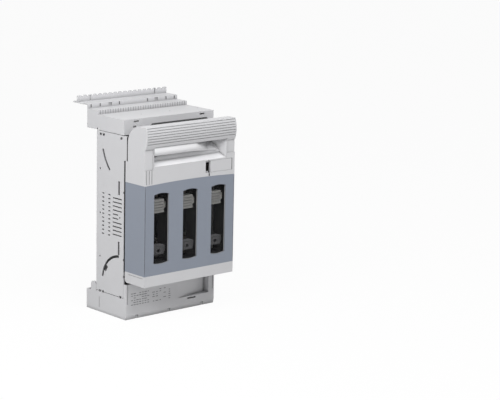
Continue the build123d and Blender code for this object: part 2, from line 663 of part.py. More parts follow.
with BuildPart() as bottom_cover:
    skirt_top_z = BASE_JOINT_Z - JOINT_GAP
    with BuildSketch(side_plane(-HALF)):
        Polygon(
            (APRON_FRONT_Y + BEVEL, 0),
            (APRON_FRONT_Y, BEVEL_HEIGHT),
            (APRON_FRONT_Y, APRON_TOP_Z),
            (APRON_FRONT_Y + WALL, APRON_TOP_Z),
            (APRON_FRONT_Y + WALL, WALL),
            (COVER_BACK_Y - WALL, WALL),
            (COVER_BACK_Y - WALL, REAR_SKIRT_Z),
            (COVER_BACK_Y, REAR_SKIRT_Z),
            (COVER_BACK_Y, 0),
            align=None,
        )
    extrude(amount=WIDTH)
    for side in (-1, 1):
        with BuildSketch(side_plane(side * HALF)):
            Polygon(
                (APRON_FRONT_Y + BEVEL, 0),
                (APRON_FRONT_Y, BEVEL_HEIGHT),
                (APRON_FRONT_Y, APRON_TOP_Z),
                (BODY_FRONT_Y - GAP, APRON_TOP_Z),
                (BODY_FRONT_Y - GAP, skirt_top_z),
                (BODY_BACK_Y, skirt_top_z),
                (BODY_BACK_Y, REAR_SKIRT_Z),
                (COVER_BACK_Y, REAR_SKIRT_Z),
                (COVER_BACK_Y, 0),
                align=None,
            )
            with Locations(*[(y, BASE_JOINT_Z) for y in SNAP_YS]):
                Rectangle(SNAP, SNAP_HEIGHT, mode=Mode.SUBTRACT)
        extrude(amount=-side * WALL)
        with BuildSketch(side_plane(side * TONGUE_X)):
            area((TONGUE_FRONT_Y, WALL), (TONGUE_BACK_Y, skirt_top_z + TONGUE_DROP))
        extrude(amount=side * TONGUE)
        with BuildSketch(side_plane(side * INNER_HALF)):
            area((TONGUE_FRONT_Y, WALL), (TONGUE_BACK_Y, skirt_top_z))
        extrude(amount=-side * GAP)
        with BuildSketch(side_plane(side * HALF)):
            area((KNOB_Y - KNOB_R, WALL), (KNOB_Y + KNOB_R, KNOB_Z))
            with Locations((KNOB_Y, KNOB_Z)):
                Circle(KNOB_R)
        extrude(amount=-side * WALL)
        with BuildSketch(side_plane(side * HALF)):
            with Locations((SCORE_Y, (SCORE_LOW_Z + SCORE_HIGH_Z) / 2)):
                Rectangle(SCORE_WIDTH, SCORE_HIGH_Z - SCORE_LOW_Z)
        extrude(amount=-side * SCORE_DEPTH, mode=Mode.SUBTRACT)

    # Recess that gets deeper to the right, with a wall of its own behind it
    with BuildSketch(Plane.XY.offset(SCOOP_LOW_Z - SCOOP_WALL)):
        Polygon(
            (SCOOP_LEFT_X, APRON_FRONT_Y + THIN),
            (SCOOP_RIGHT_X + SCOOP_WALL, APRON_FRONT_Y + THIN),
            (SCOOP_RIGHT_X + SCOOP_WALL, APRON_FRONT_Y + SCOOP_DEPTH + SCOOP_WALL),
            (SCOOP_RIGHT_X, APRON_FRONT_Y + SCOOP_DEPTH + SCOOP_WALL),
            (SCOOP_LEFT_X, APRON_FRONT_Y + WALL + THIN),
            align=None,
        )
    extrude(amount=SCOOP_HIGH_Z - SCOOP_LOW_Z + 2 * SCOOP_WALL)
    with BuildSketch(Plane.XY.offset(SCOOP_LOW_Z)):
        Polygon(
            (SCOOP_LEFT_X, APRON_FRONT_Y),
            (SCOOP_RIGHT_X, APRON_FRONT_Y),
            (SCOOP_RIGHT_X, APRON_FRONT_Y + SCOOP_DEPTH),
            align=None,
        )
    extrude(amount=SCOOP_HIGH_Z - SCOOP_LOW_Z, mode=Mode.SUBTRACT)

    # Release slot, the slits beside the apron and the notches of the lower rim
    with BuildSketch(front_plane(APRON_FRONT_Y)):
        with Locations((HALF - RELEASE_END, RELEASE_Z)):
            Rectangle(RELEASE_WIDTH, RELEASE_HEIGHT)
        with Locations((0, (SLIT_LOW_Z + APRON_TOP_Z) / 2)):
            with GridLocations(2 * (HALF - WALL - SLIT_SIDE), 0, 2, 1):
                Rectangle(SLIT_WIDTH, APRON_TOP_Z - SLIT_LOW_Z)
    extrude(amount=-WALL, mode=Mode.SUBTRACT)
    with BuildSketch(front_plane(APRON_FRONT_Y)):
        with Locations(*[(share * WIDTH, 0) for share in RIM_NOTCHES]):
            Rectangle(RIM_NOTCH, 2 * RIM_NOTCH_HEIGHT)
    extrude(amount=-RIM_NOTCH_DEPTH, mode=Mode.SUBTRACT)

keep(bottom_cover, "bottom_cover")

# Lid shell: hooded box, open to the back, with the windows, the finger pocket and the lock's seat

PILLAR_X = 19.0
PILLAR_THICK = 2.0
PILLAR_LOW_Z = 96.0
PILLAR_HIGH_Z = 216.0
GRIP_BACK_Y = -76.0
PIN_SEAT = 1.5
LOCK_CLEAR = 0.3
LOCK_RECESS = LOCK_THICK + LOCK_CLEAR
LOCK_END_GAP = 1.5
SLOT_APART = 1.0
SLOT_RIGHT_X = LOCK_LEFT_X - SLOT_APART
SLOT_WIDTH = 9.0
SLOT_LEFT_X = SLOT_RIGHT_X - SLOT_WIDTH
SLOT_SHY = 2.0
TAIL_WIDTH = 2.6
TAIL_LENGTH = 6.0
CRACK_WIDTH = 1.2
CRACK_RISE = 6.0
STEM_BACK = 19.5
STEM_X = LOCK_RIGHT_X - STEM_BACK
LOCK_MID_Z = (LOCK_LOW_Z + LOCK_HIGH_Z) / 2
PLAIN_LOW_Z = 262.0
PAD_LOW_Z = 228.0
PAD_HIGH_Z = 250.0
PAD_GROOVES = 3
PAD_GROOVE = 1.1
STRIP_DEPTH = 1.2
LEDGE_Z = 77.0
LEDGE_HEIGHT = 0.9
LEDGE_DEPTH = 0.7
LEDGE_IN = 4.0
LIP_DEPTH = 13.0
LIP_RISE = 5.0
BAR_FACE_DEPTH = 10.0
BAR_FACE_RISE = 12.5
BAR_BROW_DEPTH = 14.5
BAR_BROW_RISE = 21.5
BAR_SWELL = 6.0

BAND_MID_Z = (BAND_LOW_Z + LID_TOP_Z) / 2
BAND_R = ((LID_TOP_Z - BAND_LOW_Z) ** 2 / 4 + BAND_BULGE**2) / (2 * BAND_BULGE)


def lid_section():
    """The outline of the lid's side, from the square front to the rounded hood and the heel."""
    with BuildSketch() as section:
        with BuildLine():
            front = Line((LID_FRONT_Y, LID_BOTTOM_Z), (LID_FRONT_Y, BAND_LOW_Z))
            band = ThreePointArc(
                front @ 1,
                (LID_FRONT_Y - BAND_BULGE, BAND_MID_Z),
                (LID_FRONT_Y, LID_TOP_Z),
            )
            hood = Line(band @ 1, (LID_UPPER_BACK_Y - CROWN_R, LID_TOP_Z))
            crown = JernArc(hood @ 1, (1, 0), CROWN_R, -90)
            back = Polyline(
                crown @ 1,
                (LID_UPPER_BACK_Y, LID_STEP_Z),
                (LID_BACK_Y, LID_STEP_Z),
                (LID_BACK_Y, HINGE_Z),
            )
            heel = JernArc(back @ 1, (0, -1), HEEL_R, -90)
            Line(heel @ 1, front @ 0)
        make_face()
    return section.sketch


def lid_hollow():
    """The hollow behind the lid's front wall, open to the back below the hood."""
    open_y = LID_BACK_Y + WALL
    with BuildSketch() as hollow:
        with BuildLine():
            front = Line(
                (LID_FRONT_Y + LID_WALL, LID_BOTTOM_Z + LID_WALL),
                (LID_FRONT_Y + LID_WALL, BAND_LOW_Z + LID_WALL),
            )
            band = ThreePointArc(
                front @ 1,
                (LID_FRONT_Y + LID_WALL - BAND_BULGE, BAND_MID_Z),
                (LID_FRONT_Y + LID_WALL, LID_TOP_Z - LID_WALL),
            )
            hood = Line(band @ 1, (LID_UPPER_BACK_Y - CROWN_R, LID_TOP_Z - LID_WALL))
            crown = JernArc(hood @ 1, (1, 0), CROWN_R - LID_WALL, -90)
            back = Polyline(
                crown @ 1,
                (open_y, LID_TOP_Z - CROWN_R),
                (open_y, HINGE_Z),
                (LID_BACK_Y - LID_WALL, HINGE_Z),
            )
            heel = JernArc(back @ 1, (0, -1), HEEL_R - LID_WALL, -90)
            Line(heel @ 1, front @ 0)
        make_face()
    return hollow.sketch


def window_outline(x, grow):
    """A window with an arched head and a bowed sill, grown outwards by a margin."""
    half = WINDOW_HALF + grow
    low_z, high_z = WINDOW_LOW_Z - grow, WINDOW_HIGH_Z + grow
    with BuildSketch() as outline:
        with BuildLine():
            head = ThreePointArc((x - half, high_z), (x, high_z + WINDOW_ARCH), (x + half, high_z))
            sill = ThreePointArc((x + half, low_z), (x, low_z - WINDOW_BOW), (x - half, low_z))
            Line(head @ 1, sill @ 0)
            Line(sill @ 1, head @ 0)
        make_face()
    return outline.sketch


def panel_front():
    """The front of the grey panel, with its arched upper edge."""
    with BuildSketch() as front:
        with BuildLine():
            top = ThreePointArc((-HALF, PANEL_TOP_Z), (0, PANEL_TOP_Z + PANEL_ARCH), (HALF, PANEL_TOP_Z))
            Polyline(top @ 1, (HALF, PANEL_BOTTOM_Z), (-HALF, PANEL_BOTTOM_Z), top @ 0)
        make_face()
    return front.sketch


def pocket_solid():
    """The finger pocket as a solid: a ramp with a lip below and a rounded bar across it.

    Both swell out of the ramp between two slanted faces at each end.
    """
    outside_y = LID_FRONT_Y - WALL

    def spot(depth, rise):
        return (LID_FRONT_Y + depth, POCKET_LOW_Z + rise)

    crease = spot(LIP_DEPTH, LIP_RISE)
    brow = spot(BAR_BROW_DEPTH, BAR_BROW_RISE)
    top = spot(POCKET_DEPTH, POCKET_HEIGHT)
    with BuildPart() as shaped:
        with BuildSketch(side_plane(-POCKET_HALF)):
            with BuildLine():
                Line(spot(0, 0), crease)
                ThreePointArc(crease, spot(BAR_FACE_DEPTH, BAR_FACE_RISE), brow)
                Polyline(brow, top, (outside_y, POCKET_HIGH_Z), (outside_y, POCKET_LOW_Z), spot(0, 0))
            make_face()
        extrude(amount=2 * POCKET_HALF)
    ramp_plane = Plane(
        (0, LID_FRONT_Y, POCKET_LOW_Z), x_dir=(1, 0, 0), z_dir=(0, POCKET_DEPTH, POCKET_HEIGHT)
    )
    blend_x = POCKET_HALF - POCKET_BLEND
    ramp_length = hypot(POCKET_DEPTH, POCKET_HEIGHT)
    with BuildPart() as swell:
        with BuildSketch(ramp_plane.offset(-ramp_length)):
            Polygon(
                (-POCKET_HALF, 0),
                (-blend_x, -BAR_SWELL),
                (blend_x, -BAR_SWELL),
                (POCKET_HALF, 0),
                (blend_x, BAR_SWELL),
                (-blend_x, BAR_SWELL),
                align=None,
            )
        extrude(amount=3 * ramp_length)
    with BuildPart() as ramp:
        with BuildSketch(side_plane(-POCKET_HALF)):
            Polygon(spot(0, 0), top, (outside_y, POCKET_HIGH_Z), (outside_y, POCKET_LOW_Z), align=None)
        extrude(amount=2 * POCKET_HALF)
    with BuildPart() as pocket:
        add(ramp.part)
        add(swell.part, mode=Mode.SUBTRACT)
        add(shaped.part & swell.part)
    return pocket.part


window_cuts = [window_outline(x, 0) for _, x in POLES]
panel_face = panel_front()
finger_pocket = pocket_solid()

with BuildPart() as lid_shell:
    with BuildSketch(side_plane(-HALF)):
        add(lid_section())
    extrude(amount=WIDTH)
    with BuildSketch(side_plane(LID_WALL - HALF)):
        add(lid_hollow())
    extrude(amount=WIDTH - 2 * LID_WALL, mode=Mode.SUBTRACT)

    # Pillars beside the windows carry the fuse grips
    with BuildSketch(front_plane(LID_FRONT_Y + LID_WALL)):
        for _, x in POLES:
            for side in (-1, 1):
                pillar_x = x + side * (PILLAR_X + PILLAR_THICK / 2)
                with Locations((pillar_x, (PILLAR_LOW_Z + PILLAR_HIGH_Z) / 2)):
                    Rectangle(PILLAR_THICK, PILLAR_HIGH_Z - PILLAR_LOW_Z)
    extrude(amount=LID_FRONT_Y + LID_WALL - GRIP_BACK_Y)

    # Wedge behind the finger pocket
    with BuildSketch(side_plane(-POCKET_HALF - POCKET_WALL)):
        Polygon(
            (LID_FRONT_Y + LID_WALL, POCKET_LOW_Z - POCKET_WALL),
            (LID_FRONT_Y + POCKET_DEPTH / 2 + POCKET_WALL, POCKET_LOW_Z - POCKET_WALL),
            (LID_FRONT_Y + POCKET_DEPTH + POCKET_WALL, POCKET_HIGH_Z - 2 * POCKET_WALL),
            (LID_FRONT_Y + POCKET_DEPTH + POCKET_WALL, POCKET_HIGH_Z + POCKET_WALL),
            (LID_FRONT_Y + LID_WALL, POCKET_HIGH_Z + POCKET_WALL),
            align=None,
        )
    extrude(amount=2 * (POCKET_HALF + POCKET_WALL))

    # Bosses that hold the hinge pins
    for side in (-1, 1):
        with BuildSketch(side_plane(side * BOSS_IN_X)):
            with Locations((HINGE_Y, HINGE_Z)):
                Circle(EAR_R)
        extrude(amount=side * (HALF - LID_WALL - BOSS_IN_X))
        with BuildSketch(side_plane(side * BOSS_IN_X)):
            with Locations((HINGE_Y, HINGE_Z)):
                Circle(PIN_R + RUNNING)
        extrude(amount=side * (HALF - PIN_SEAT - BOSS_IN_X), mode=Mode.SUBTRACT)
        with BuildSketch(side_plane(side * (EAR_OUT_X - EAR_THICK - NOTCH_SIDE))):
            area((HINGE_Y - EAR_R - GAP, LID_BOTTOM_Z), (LID_BACK_Y, HINGE_Z))
        extrude(amount=side * (EAR_THICK + NOTCH_SIDE + BOSS_IN_X - EAR_OUT_X), mode=Mode.SUBTRACT)

    # Seat of the grey panel
    with BuildSketch(front_plane(LID_FRONT_Y)):
        add(panel_face)
    extrude(amount=-SKIN, mode=Mode.SUBTRACT)
    for side in (-1, 1):
        with BuildSketch(side_plane(side * HALF)):
            area((LID_FRONT_Y, PANEL_BOTTOM_Z), (LID_BACK_Y, PANEL_TOP_Z))
        extrude(amount=-side * SKIN, mode=Mode.SUBTRACT)

    # Windows, lock slot with its tail and crack, and the stem slot through the front wall
    with BuildSketch(front_plane(LID_FRONT_Y)):
        add(window_cuts)
        area((SLOT_LEFT_X, LOCK_LOW_Z + SLOT_SHY), (SLOT_RIGHT_X, LOCK_HIGH_Z - SLOT_SHY))
        area((SLOT_RIGHT_X - TAIL_WIDTH, LOCK_LOW_Z - TAIL_LENGTH), (SLOT_RIGHT_X, LOCK_LOW_Z + SLOT_SHY))
        Polygon(
            (SLOT_RIGHT_X - CRACK_WIDTH, LOCK_HIGH_Z - SLOT_SHY),
            (SLOT_RIGHT_X, LOCK_HIGH_Z - SLOT_SHY),
            (SLOT_RIGHT_X - CRACK_RISE, LOCK_HIGH_Z + CRACK_RISE),
            (SLOT_RIGHT_X - CRACK_RISE - CRACK_WIDTH, LOCK_HIGH_Z + CRACK_RISE),
            align=None,
        )
        stem_half = LOCK_STEM / 2 + LOCK_CLEAR
        area(
            (STEM_X - LOCK_TRAVEL - stem_half, LOCK_MID_Z - stem_half),
            (STEM_X + stem_half, LOCK_MID_Z + stem_half),
        )
    extrude(amount=-LID_WALL, mode=Mode.SUBTRACT)

    # Seat of the sliding lock, and the thumb pad on the left
    with BuildSketch(front_plane(LID_FRONT_Y)):
        area((SLOT_LEFT_X, LOCK_LOW_Z - LOCK_CLEAR), (LOCK_RIGHT_X + LOCK_END_GAP, LOCK_HIGH_Z + LOCK_CLEAR))
    extrude(amount=-LOCK_RECESS, mode=Mode.SUBTRACT)
    with BuildSketch(front_plane(LID_FRONT_Y)):
        with Locations((STRIP_SIDE / 2 - HALF, (PAD_LOW_Z + PAD_HIGH_Z) / 2)):
            with GridLocations(STRIP_SIDE / PAD_GROOVES, 0, PAD_GROOVES, 1):
                Rectangle(PAD_GROOVE, PAD_HIGH_Z - PAD_LOW_Z)
    extrude(amount=-GROOVE_DEPTH, mode=Mode.SUBTRACT)

    # Set-back strips beside the finger pocket
    with BuildSketch(front_plane(LID_FRONT_Y)):
        area((-HALF, PAD_HIGH_Z), (STRIP_SIDE - HALF, BAND_LOW_Z))
        area((HALF - STRIP_SIDE, PLAIN_LOW_Z), (HALF, BAND_LOW_Z))
    extrude(amount=-STRIP_DEPTH, mode=Mode.SUBTRACT)

    # Ledge line on each side, below the grey panel
    for side in (-1, 1):
        with BuildSketch(side_plane(side * HALF)):
            with Locations(((LID_FRONT_Y + HINGE_Y) / 2, LEDGE_Z)):
                Rectangle(HINGE_Y - LID_FRONT_Y - 2 * LEDGE_IN, LEDGE_HEIGHT)
        extrude(amount=-side * LEDGE_DEPTH, mode=Mode.SUBTRACT)

    # Grooves round the swelling grip band
    with BuildSketch(side_plane(GROOVE_END - HALF)):
        spread = degrees(GROOVE_SPACING * (BAND_GROOVES - 1) / BAND_R)
        lift = degrees((GROOVE_MID_Z - BAND_MID_Z) / BAND_R)
        with Locations((LID_FRONT_Y - BAND_BULGE + BAND_R, BAND_MID_Z)):
            with PolarLocations(BAND_R, BAND_GROOVES, 180 - lift - spread / 2, spread, endpoint=True):
                Rectangle(2 * GROOVE_DEPTH, GROOVE_WIDTH)
    extrude(amount=WIDTH - 2 * GROOVE_END, mode=Mode.SUBTRACT)

    # Long slot in the hood
    with BuildSketch(Plane.XY.offset(LID_TOP_Z)):
        with Locations((0, TOP_SLOT_Y)):
            Rectangle(2 * (HALF - TOP_SLOT_END), TOP_SLOT_DEPTH)
    extrude(amount=-CROWN_R / 2, mode=Mode.SUBTRACT)

    add(finger_pocket, mode=Mode.SUBTRACT)

keep(lid_shell, "lid_shell")

# Grey panel that wraps round the lid's front and sides

with BuildPart() as lid_panel:
    with BuildSketch(front_plane(LID_FRONT_Y)):
        add(panel_face)
    extrude(amount=-SKIN)
    for side in (-1, 1):
        with BuildSketch(side_plane(side * HALF)):
            area((LID_FRONT_Y, PANEL_BOTTOM_Z), (LID_BACK_Y, PANEL_TOP_Z))
        extrude(amount=-side * SKIN)
    with BuildSketch(front_plane(LID_FRONT_Y)):
        add(window_cuts)
    extrude(amount=-SKIN, mode=Mode.SUBTRACT)

keep(lid_panel, "lid_panel")

# Windows and the fuse grips behind them

GRIP_FRONT_Y = -88.0
WING_FRONT_Y = -82.0
UPPER_GRIP_HALF = 10.5
UPPER_GRIP_LOW_Z = 179.0
UPPER_GRIP_HIGH_Z = 200.0
GRIP_GROOVES = 4
GRIP_GROOVE_PITCH = 4.4
GRIP_GROOVE = 1.4
LOWER_GRIP_HALF = 11.5
LOWER_GRIP_LOW_Z = 111.6
LOWER_GRIP_HIGH_Z = 126.0
GRIP_HOLE_Z = 117.5
GRIP_HOLE_R = 3.2
GRIP_HOLE_DEPTH = 6.0
WING_HEIGHT = 10.0


def fuse_grip(x, half, low_z, high_z):
    """A block between two pillars, with a narrower front that shows in the window."""
    mid_z = (low_z + high_z) / 2
    with BuildPart() as grip:
        with BuildSketch(front_plane(GRIP_BACK_Y)):
            area((x - half, low_z), (x + half, high_z))
        extrude(amount=GRIP_BACK_Y - GRIP_FRONT_Y)
        with BuildSketch(front_plane(GRIP_BACK_Y)):
            area((x - PILLAR_X, mid_z - WING_HEIGHT / 2), (x + PILLAR_X, mid_z + WING_HEIGHT / 2))
        extrude(amount=GRIP_BACK_Y - WING_FRONT_Y)
    return grip.part


for pole, x in POLES:
    with BuildPart() as window:
        with BuildSketch(front_plane(LID_FRONT_Y + LID_WALL)):
            add(window_outline(x, PANE_LAP))
        extrude(amount=-PANE)
    keep(window, f"window_{pole}")

    upper_block = fuse_grip(x, UPPER_GRIP_HALF, UPPER_GRIP_LOW_Z, UPPER_GRIP_HIGH_Z)
    with BuildPart() as upper_grip:
        add(upper_block)
        with BuildSketch(front_plane(GRIP_FRONT_Y)):
            with Locations((x, (UPPER_GRIP_LOW_Z + UPPER_GRIP_HIGH_Z) / 2)):
                with GridLocations(0, GRIP_GROOVE_PITCH, 1, GRIP_GROOVES):
                    Rectangle(2 * UPPER_GRIP_HALF, GRIP_GROOVE)
        extrude(amount=-GRIP_GROOVE, mode=Mode.SUBTRACT)
    keep(upper_grip, f"upper_grip_{pole}")

    lower_block = fuse_grip(x, LOWER_GRIP_HALF, LOWER_GRIP_LOW_Z, LOWER_GRIP_HIGH_Z)
    with BuildPart() as lower_grip:
        add(lower_block)
        with BuildSketch(front_plane(GRIP_FRONT_Y)):
            with Locations((x, GRIP_HOLE_Z)):
                small_hole(GRIP_HOLE_R)
        extrude(amount=-GRIP_HOLE_DEPTH, mode=Mode.SUBTRACT)
    keep(lower_grip, f"lower_grip_{pole}")

# Sliding lock: a flat plate in its seat, kept there by a stem and a foot behind the wall

with BuildPart() as lock_slide:
    with BuildSketch(front_plane(LID_FRONT_Y + LOCK_THICK)):
        area((LOCK_LEFT_X, LOCK_LOW_Z), (LOCK_RIGHT_X, LOCK_HIGH_Z))
    extrude(amount=LOCK_THICK)
    with BuildSketch(front_plane(LID_FRONT_Y + LOCK_THICK)):
        with Locations((STEM_X, LOCK_MID_Z)):
            Rectangle(LOCK_STEM, LOCK_STEM)
    extrude(amount=-(LID_WALL + LOCK_CLEAR - LOCK_THICK))
    with BuildSketch(front_plane(LID_FRONT_Y + LID_WALL + LOCK_CLEAR)):
        with Locations((STEM_X, LOCK_MID_Z)):
            Rectangle(LOCK_FOOT, LOCK_FOOT)
    extrude(amount=-LOCK_FOOT_THICK)

keep(lock_slide, "lock_slide")

# Hinge pins, from the lid's bosses through the chassis ears

for name, side in (("left", -1), ("right", 1)):
    with BuildPart() as hinge_pin:
        with BuildSketch(side_plane(side * (HALF - PIN_SEAT))):
            with Locations((HINGE_Y, HINGE_Z)):
                Circle(PIN_R)
        extrude(amount=-side * (HALF - PIN_SEAT - EAR_OUT_X + EAR_THICK + GAP))
    keep(hinge_pin, f"hinge_pin_{name}")
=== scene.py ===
import json
import math

import bmesh
import bpy
import numpy as np
from mathutils import Matrix, Vector


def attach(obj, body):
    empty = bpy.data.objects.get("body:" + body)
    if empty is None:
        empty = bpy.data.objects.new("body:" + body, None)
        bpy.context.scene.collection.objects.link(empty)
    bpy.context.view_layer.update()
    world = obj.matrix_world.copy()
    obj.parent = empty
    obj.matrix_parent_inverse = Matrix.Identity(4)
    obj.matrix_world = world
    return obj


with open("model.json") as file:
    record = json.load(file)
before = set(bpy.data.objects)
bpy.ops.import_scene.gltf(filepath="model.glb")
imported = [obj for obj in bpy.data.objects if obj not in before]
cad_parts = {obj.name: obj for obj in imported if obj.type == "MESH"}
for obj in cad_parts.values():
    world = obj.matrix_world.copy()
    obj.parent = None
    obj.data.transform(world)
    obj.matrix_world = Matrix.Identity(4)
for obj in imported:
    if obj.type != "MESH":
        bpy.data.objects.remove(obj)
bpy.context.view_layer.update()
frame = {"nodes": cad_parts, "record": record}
nodes = frame["nodes"]
slot_of = {part["node"]: part["material_slot"] for part in frame["record"]["subparts"]}

# The camera, as it stood for the photograph: in front of the left corner of the housing, a little
# above it, and rolled by about a degree.
azimuth, elevation, roll = math.radians(41.83), math.radians(11.78), math.radians(1.25)
camera_place = (-1.8119, -2.2610, 0.7843)
sensor_width, focal_length, far_limit = 36, 130.52, 50

sight = Vector((
    math.sin(azimuth) * math.cos(elevation),
    math.cos(azimuth) * math.cos(elevation),
    -math.sin(elevation),
))
level = Vector((math.cos(azimuth), -math.sin(azimuth), 0))
upright = level.cross(sight)
camera_right = level * math.cos(roll) + upright * math.sin(roll)
camera_up = upright * math.cos(roll) - level * math.sin(roll)
camera = bpy.data.objects.new("camera", bpy.data.cameras.new("camera"))
camera.data.sensor_width = sensor_width
camera.data.lens = focal_length
camera.data.clip_end = far_limit
camera.matrix_world = Matrix.Translation(camera_place) @ Matrix(
    (camera_right, camera_up, -sight)
).transposed().to_4x4()
bpy.context.scene.collection.objects.link(camera)
bpy.context.scene.camera = camera

# Studio: a pale floor, a white surround and four soft lamps. The key lamp hangs high in front, one
# stands to the left and one hangs overhead, because the tops and the left wall are the brighter
# faces in the photograph. The last one, low in front, reaches under the lid.
white = (1, 1, 1, 1)
fill_strength, backdrop_strength = 0.18, 1.0

bpy.context.scene.view_settings.view_transform = "Standard"
world = bpy.data.worlds.new("studio")
bpy.context.scene.world = world
world.use_nodes = True
sky_nodes, sky_links = world.node_tree.nodes, world.node_tree.links
sky_nodes.clear()
sky_out = sky_nodes.new("ShaderNodeOutputWorld")
sky_mix = sky_nodes.new("ShaderNodeMixShader")
fill = sky_nodes.new("ShaderNodeBackground")
fill.inputs["Color"].default_value = white
fill.inputs["Strength"].default_value = fill_strength
backdrop = sky_nodes.new("ShaderNodeBackground")
backdrop.inputs["Color"].default_value = white
backdrop.inputs["Strength"].default_value = backdrop_strength


def seen_directly(tree):
    """A value of one for rays that show the surround itself: seen, mirrored or through glass."""
    path = tree.nodes.new("ShaderNodeLightPath")
    total = path.outputs["Is Camera Ray"]
    for ray in ("Is Glossy Ray", "Is Transmission Ray"):
        step = tree.nodes.new("ShaderNodeMath")
        step.operation = "ADD"
        step.use_clamp = True
        tree.links.new(total, step.inputs[0])
        tree.links.new(path.outputs[ray], step.inputs[1])
        total = step.outputs["Value"]
    return total


sky_links.new(seen_directly(world.node_tree), sky_mix.inputs["Fac"])
sky_links.new(fill.outputs["Background"], sky_mix.inputs[1])
sky_links.new(backdrop.outputs["Background"], sky_mix.inputs[2])
sky_links.new(sky_mix.outputs["Shader"], sky_out.inputs["Surface"])


def soft_lamp(name, place, target, size, power):
    """A square area lamp at one point that faces another."""
    lamp = bpy.data.objects.new(name, bpy.data.lights.new(name, "AREA"))
    lamp.data.size = size
    lamp.data.energy = power
    lamp.location = place
    lamp.rotation_euler = (Vector(target) - Vector(place)).to_track_quat("-Z", "Y").to_euler()
    bpy.context.scene.collection.objects.link(lamp)


middle = (0, 0, 0.17)
soft_lamp("lamp_key", (-0.2, -1.25, 1.7), middle, 1.0, 19.5)
soft_lamp("lamp_left", (-1.0, -0.3, 0.85), middle, 0.7, 9.4)
soft_lamp("lamp_top", (-0.1, -0.45, 1.9), middle, 1.2, 5)
soft_lamp("lamp_low", (0.3, -2.2, 0.5), middle, 1.2, 4)

floor_reach, floor_z = 12.0, -0.0003
floor_grey, glow_strength, glow_share = 0.64, 1.015, 0.94

floor_mesh = bpy.data.meshes.new("floor")
floor_mesh.from_pydata(
    [(x * floor_reach, y * floor_reach, floor_z) for x, y in ((-1, -1), (1, -1), (1, 1), (-1, 1))],
    [], [(0, 1, 2, 3)])
floor = bpy.data.objects.new("floor", floor_mesh)
bpy.context.scene.collection.objects.link(floor)
floor_paint = bpy.data.materials.new("floor_paint")
floor_paint.use_nodes = True
floor_nodes, floor_links = floor_paint.node_tree.nodes, floor_paint.node_tree.links
floor_nodes.clear()
floor_out = floor_nodes.new("ShaderNodeOutputMaterial")
floor_mix = floor_nodes.new("ShaderNodeMixShader")
floor_glow = floor_nodes.new("ShaderNodeEmission")
floor_glow.inputs["Color"].default_value = white
floor_glow.inputs["Strength"].default_value = glow_strength
floor_matt = floor_nodes.new("ShaderNodeBsdfDiffuse")
floor_matt.inputs["Color"].default_value = (floor_grey, floor_grey, floor_grey, 1)
floor_share = floor_nodes.new("ShaderNodeMath")
floor_share.operation = "MULTIPLY"
floor_share.inputs[1].default_value = glow_share
floor_links.new(seen_directly(floor_paint.node_tree), floor_share.inputs[0])
floor_links.new(floor_share.outputs["Value"], floor_mix.inputs["Fac"])
floor_links.new(floor_matt.outputs["BSDF"], floor_mix.inputs[1])
floor_links.new(floor_glow.outputs["Emission"], floor_mix.inputs[2])
floor_links.new(floor_mix.outputs["Shader"], floor_out.inputs["Surface"])
floor_mesh.materials.append(floor_paint)


# Chassis: one black glass-filled moulding, matt and coarse-grained, that carries all the copper
# and makes the fuse bays dark. Two black sheets stand just inside the side walls, behind the
# vents, as painted shade in the open outer bays.
def noise(tree, place, scale, detail=2):
    """A noise read at a vector socket."""
    texture = tree.nodes.new("ShaderNodeTexNoise")
    texture.inputs["Scale"].default_value = scale
    texture.inputs["Detail"].default_value = detail
    tree.links.new(place, texture.inputs["Vector"])
    return texture.outputs["Fac"]


def ranged(tree, value, low, high, from_low=0, from_high=1, curve="LINEAR"):
    """A value carried from one range to another and held at the ends."""
    carry = tree.nodes.new("ShaderNodeMapRange")
    carry.interpolation_type = curve
    carry.inputs["From Min"].default_value = from_low
    carry.inputs["From Max"].default_value = from_high
    carry.inputs["To Min"].default_value = low
    carry.inputs["To Max"].default_value = high
    tree.links.new(value, carry.inputs["Value"])
    return carry.outputs["Result"]


def mixed(tree, amount, first, second):
    """Two colours mixed by an amount. Each of the three is a socket or a plain value."""
    mix = tree.nodes.new("ShaderNodeMix")
    mix.data_type = "RGBA"
    for socket, value in zip((mix.inputs["Factor"], mix.inputs[6], mix.inputs[7]),
                             (amount, first, second)):
        if isinstance(value, bpy.types.NodeSocket):
            tree.links.new(value, socket)
        else:
            socket.default_value = (*value, 1) if isinstance(value, tuple) else value
    return mix.outputs[2]


def roughen(tree, shader, edge, height, strength, depth):
    """Softens the shader's edges, bumps it by a height, and gives the softened normal."""
    rounded = tree.nodes.new("ShaderNodeBevel")
    rounded.inputs["Radius"].default_value = edge
    rounded.samples = 4
    bump = tree.nodes.new("ShaderNodeBump")
    bump.inputs["Strength"].default_value = strength
    bump.inputs["Distance"].default_value = depth
    tree.links.new(height, bump.inputs["Height"])
    tree.links.new(rounded.outputs["Normal"], bump.inputs["Normal"])
    tree.links.new(bump.outputs["Normal"], shader.inputs["Normal"])
    return rounded.outputs["Normal"]


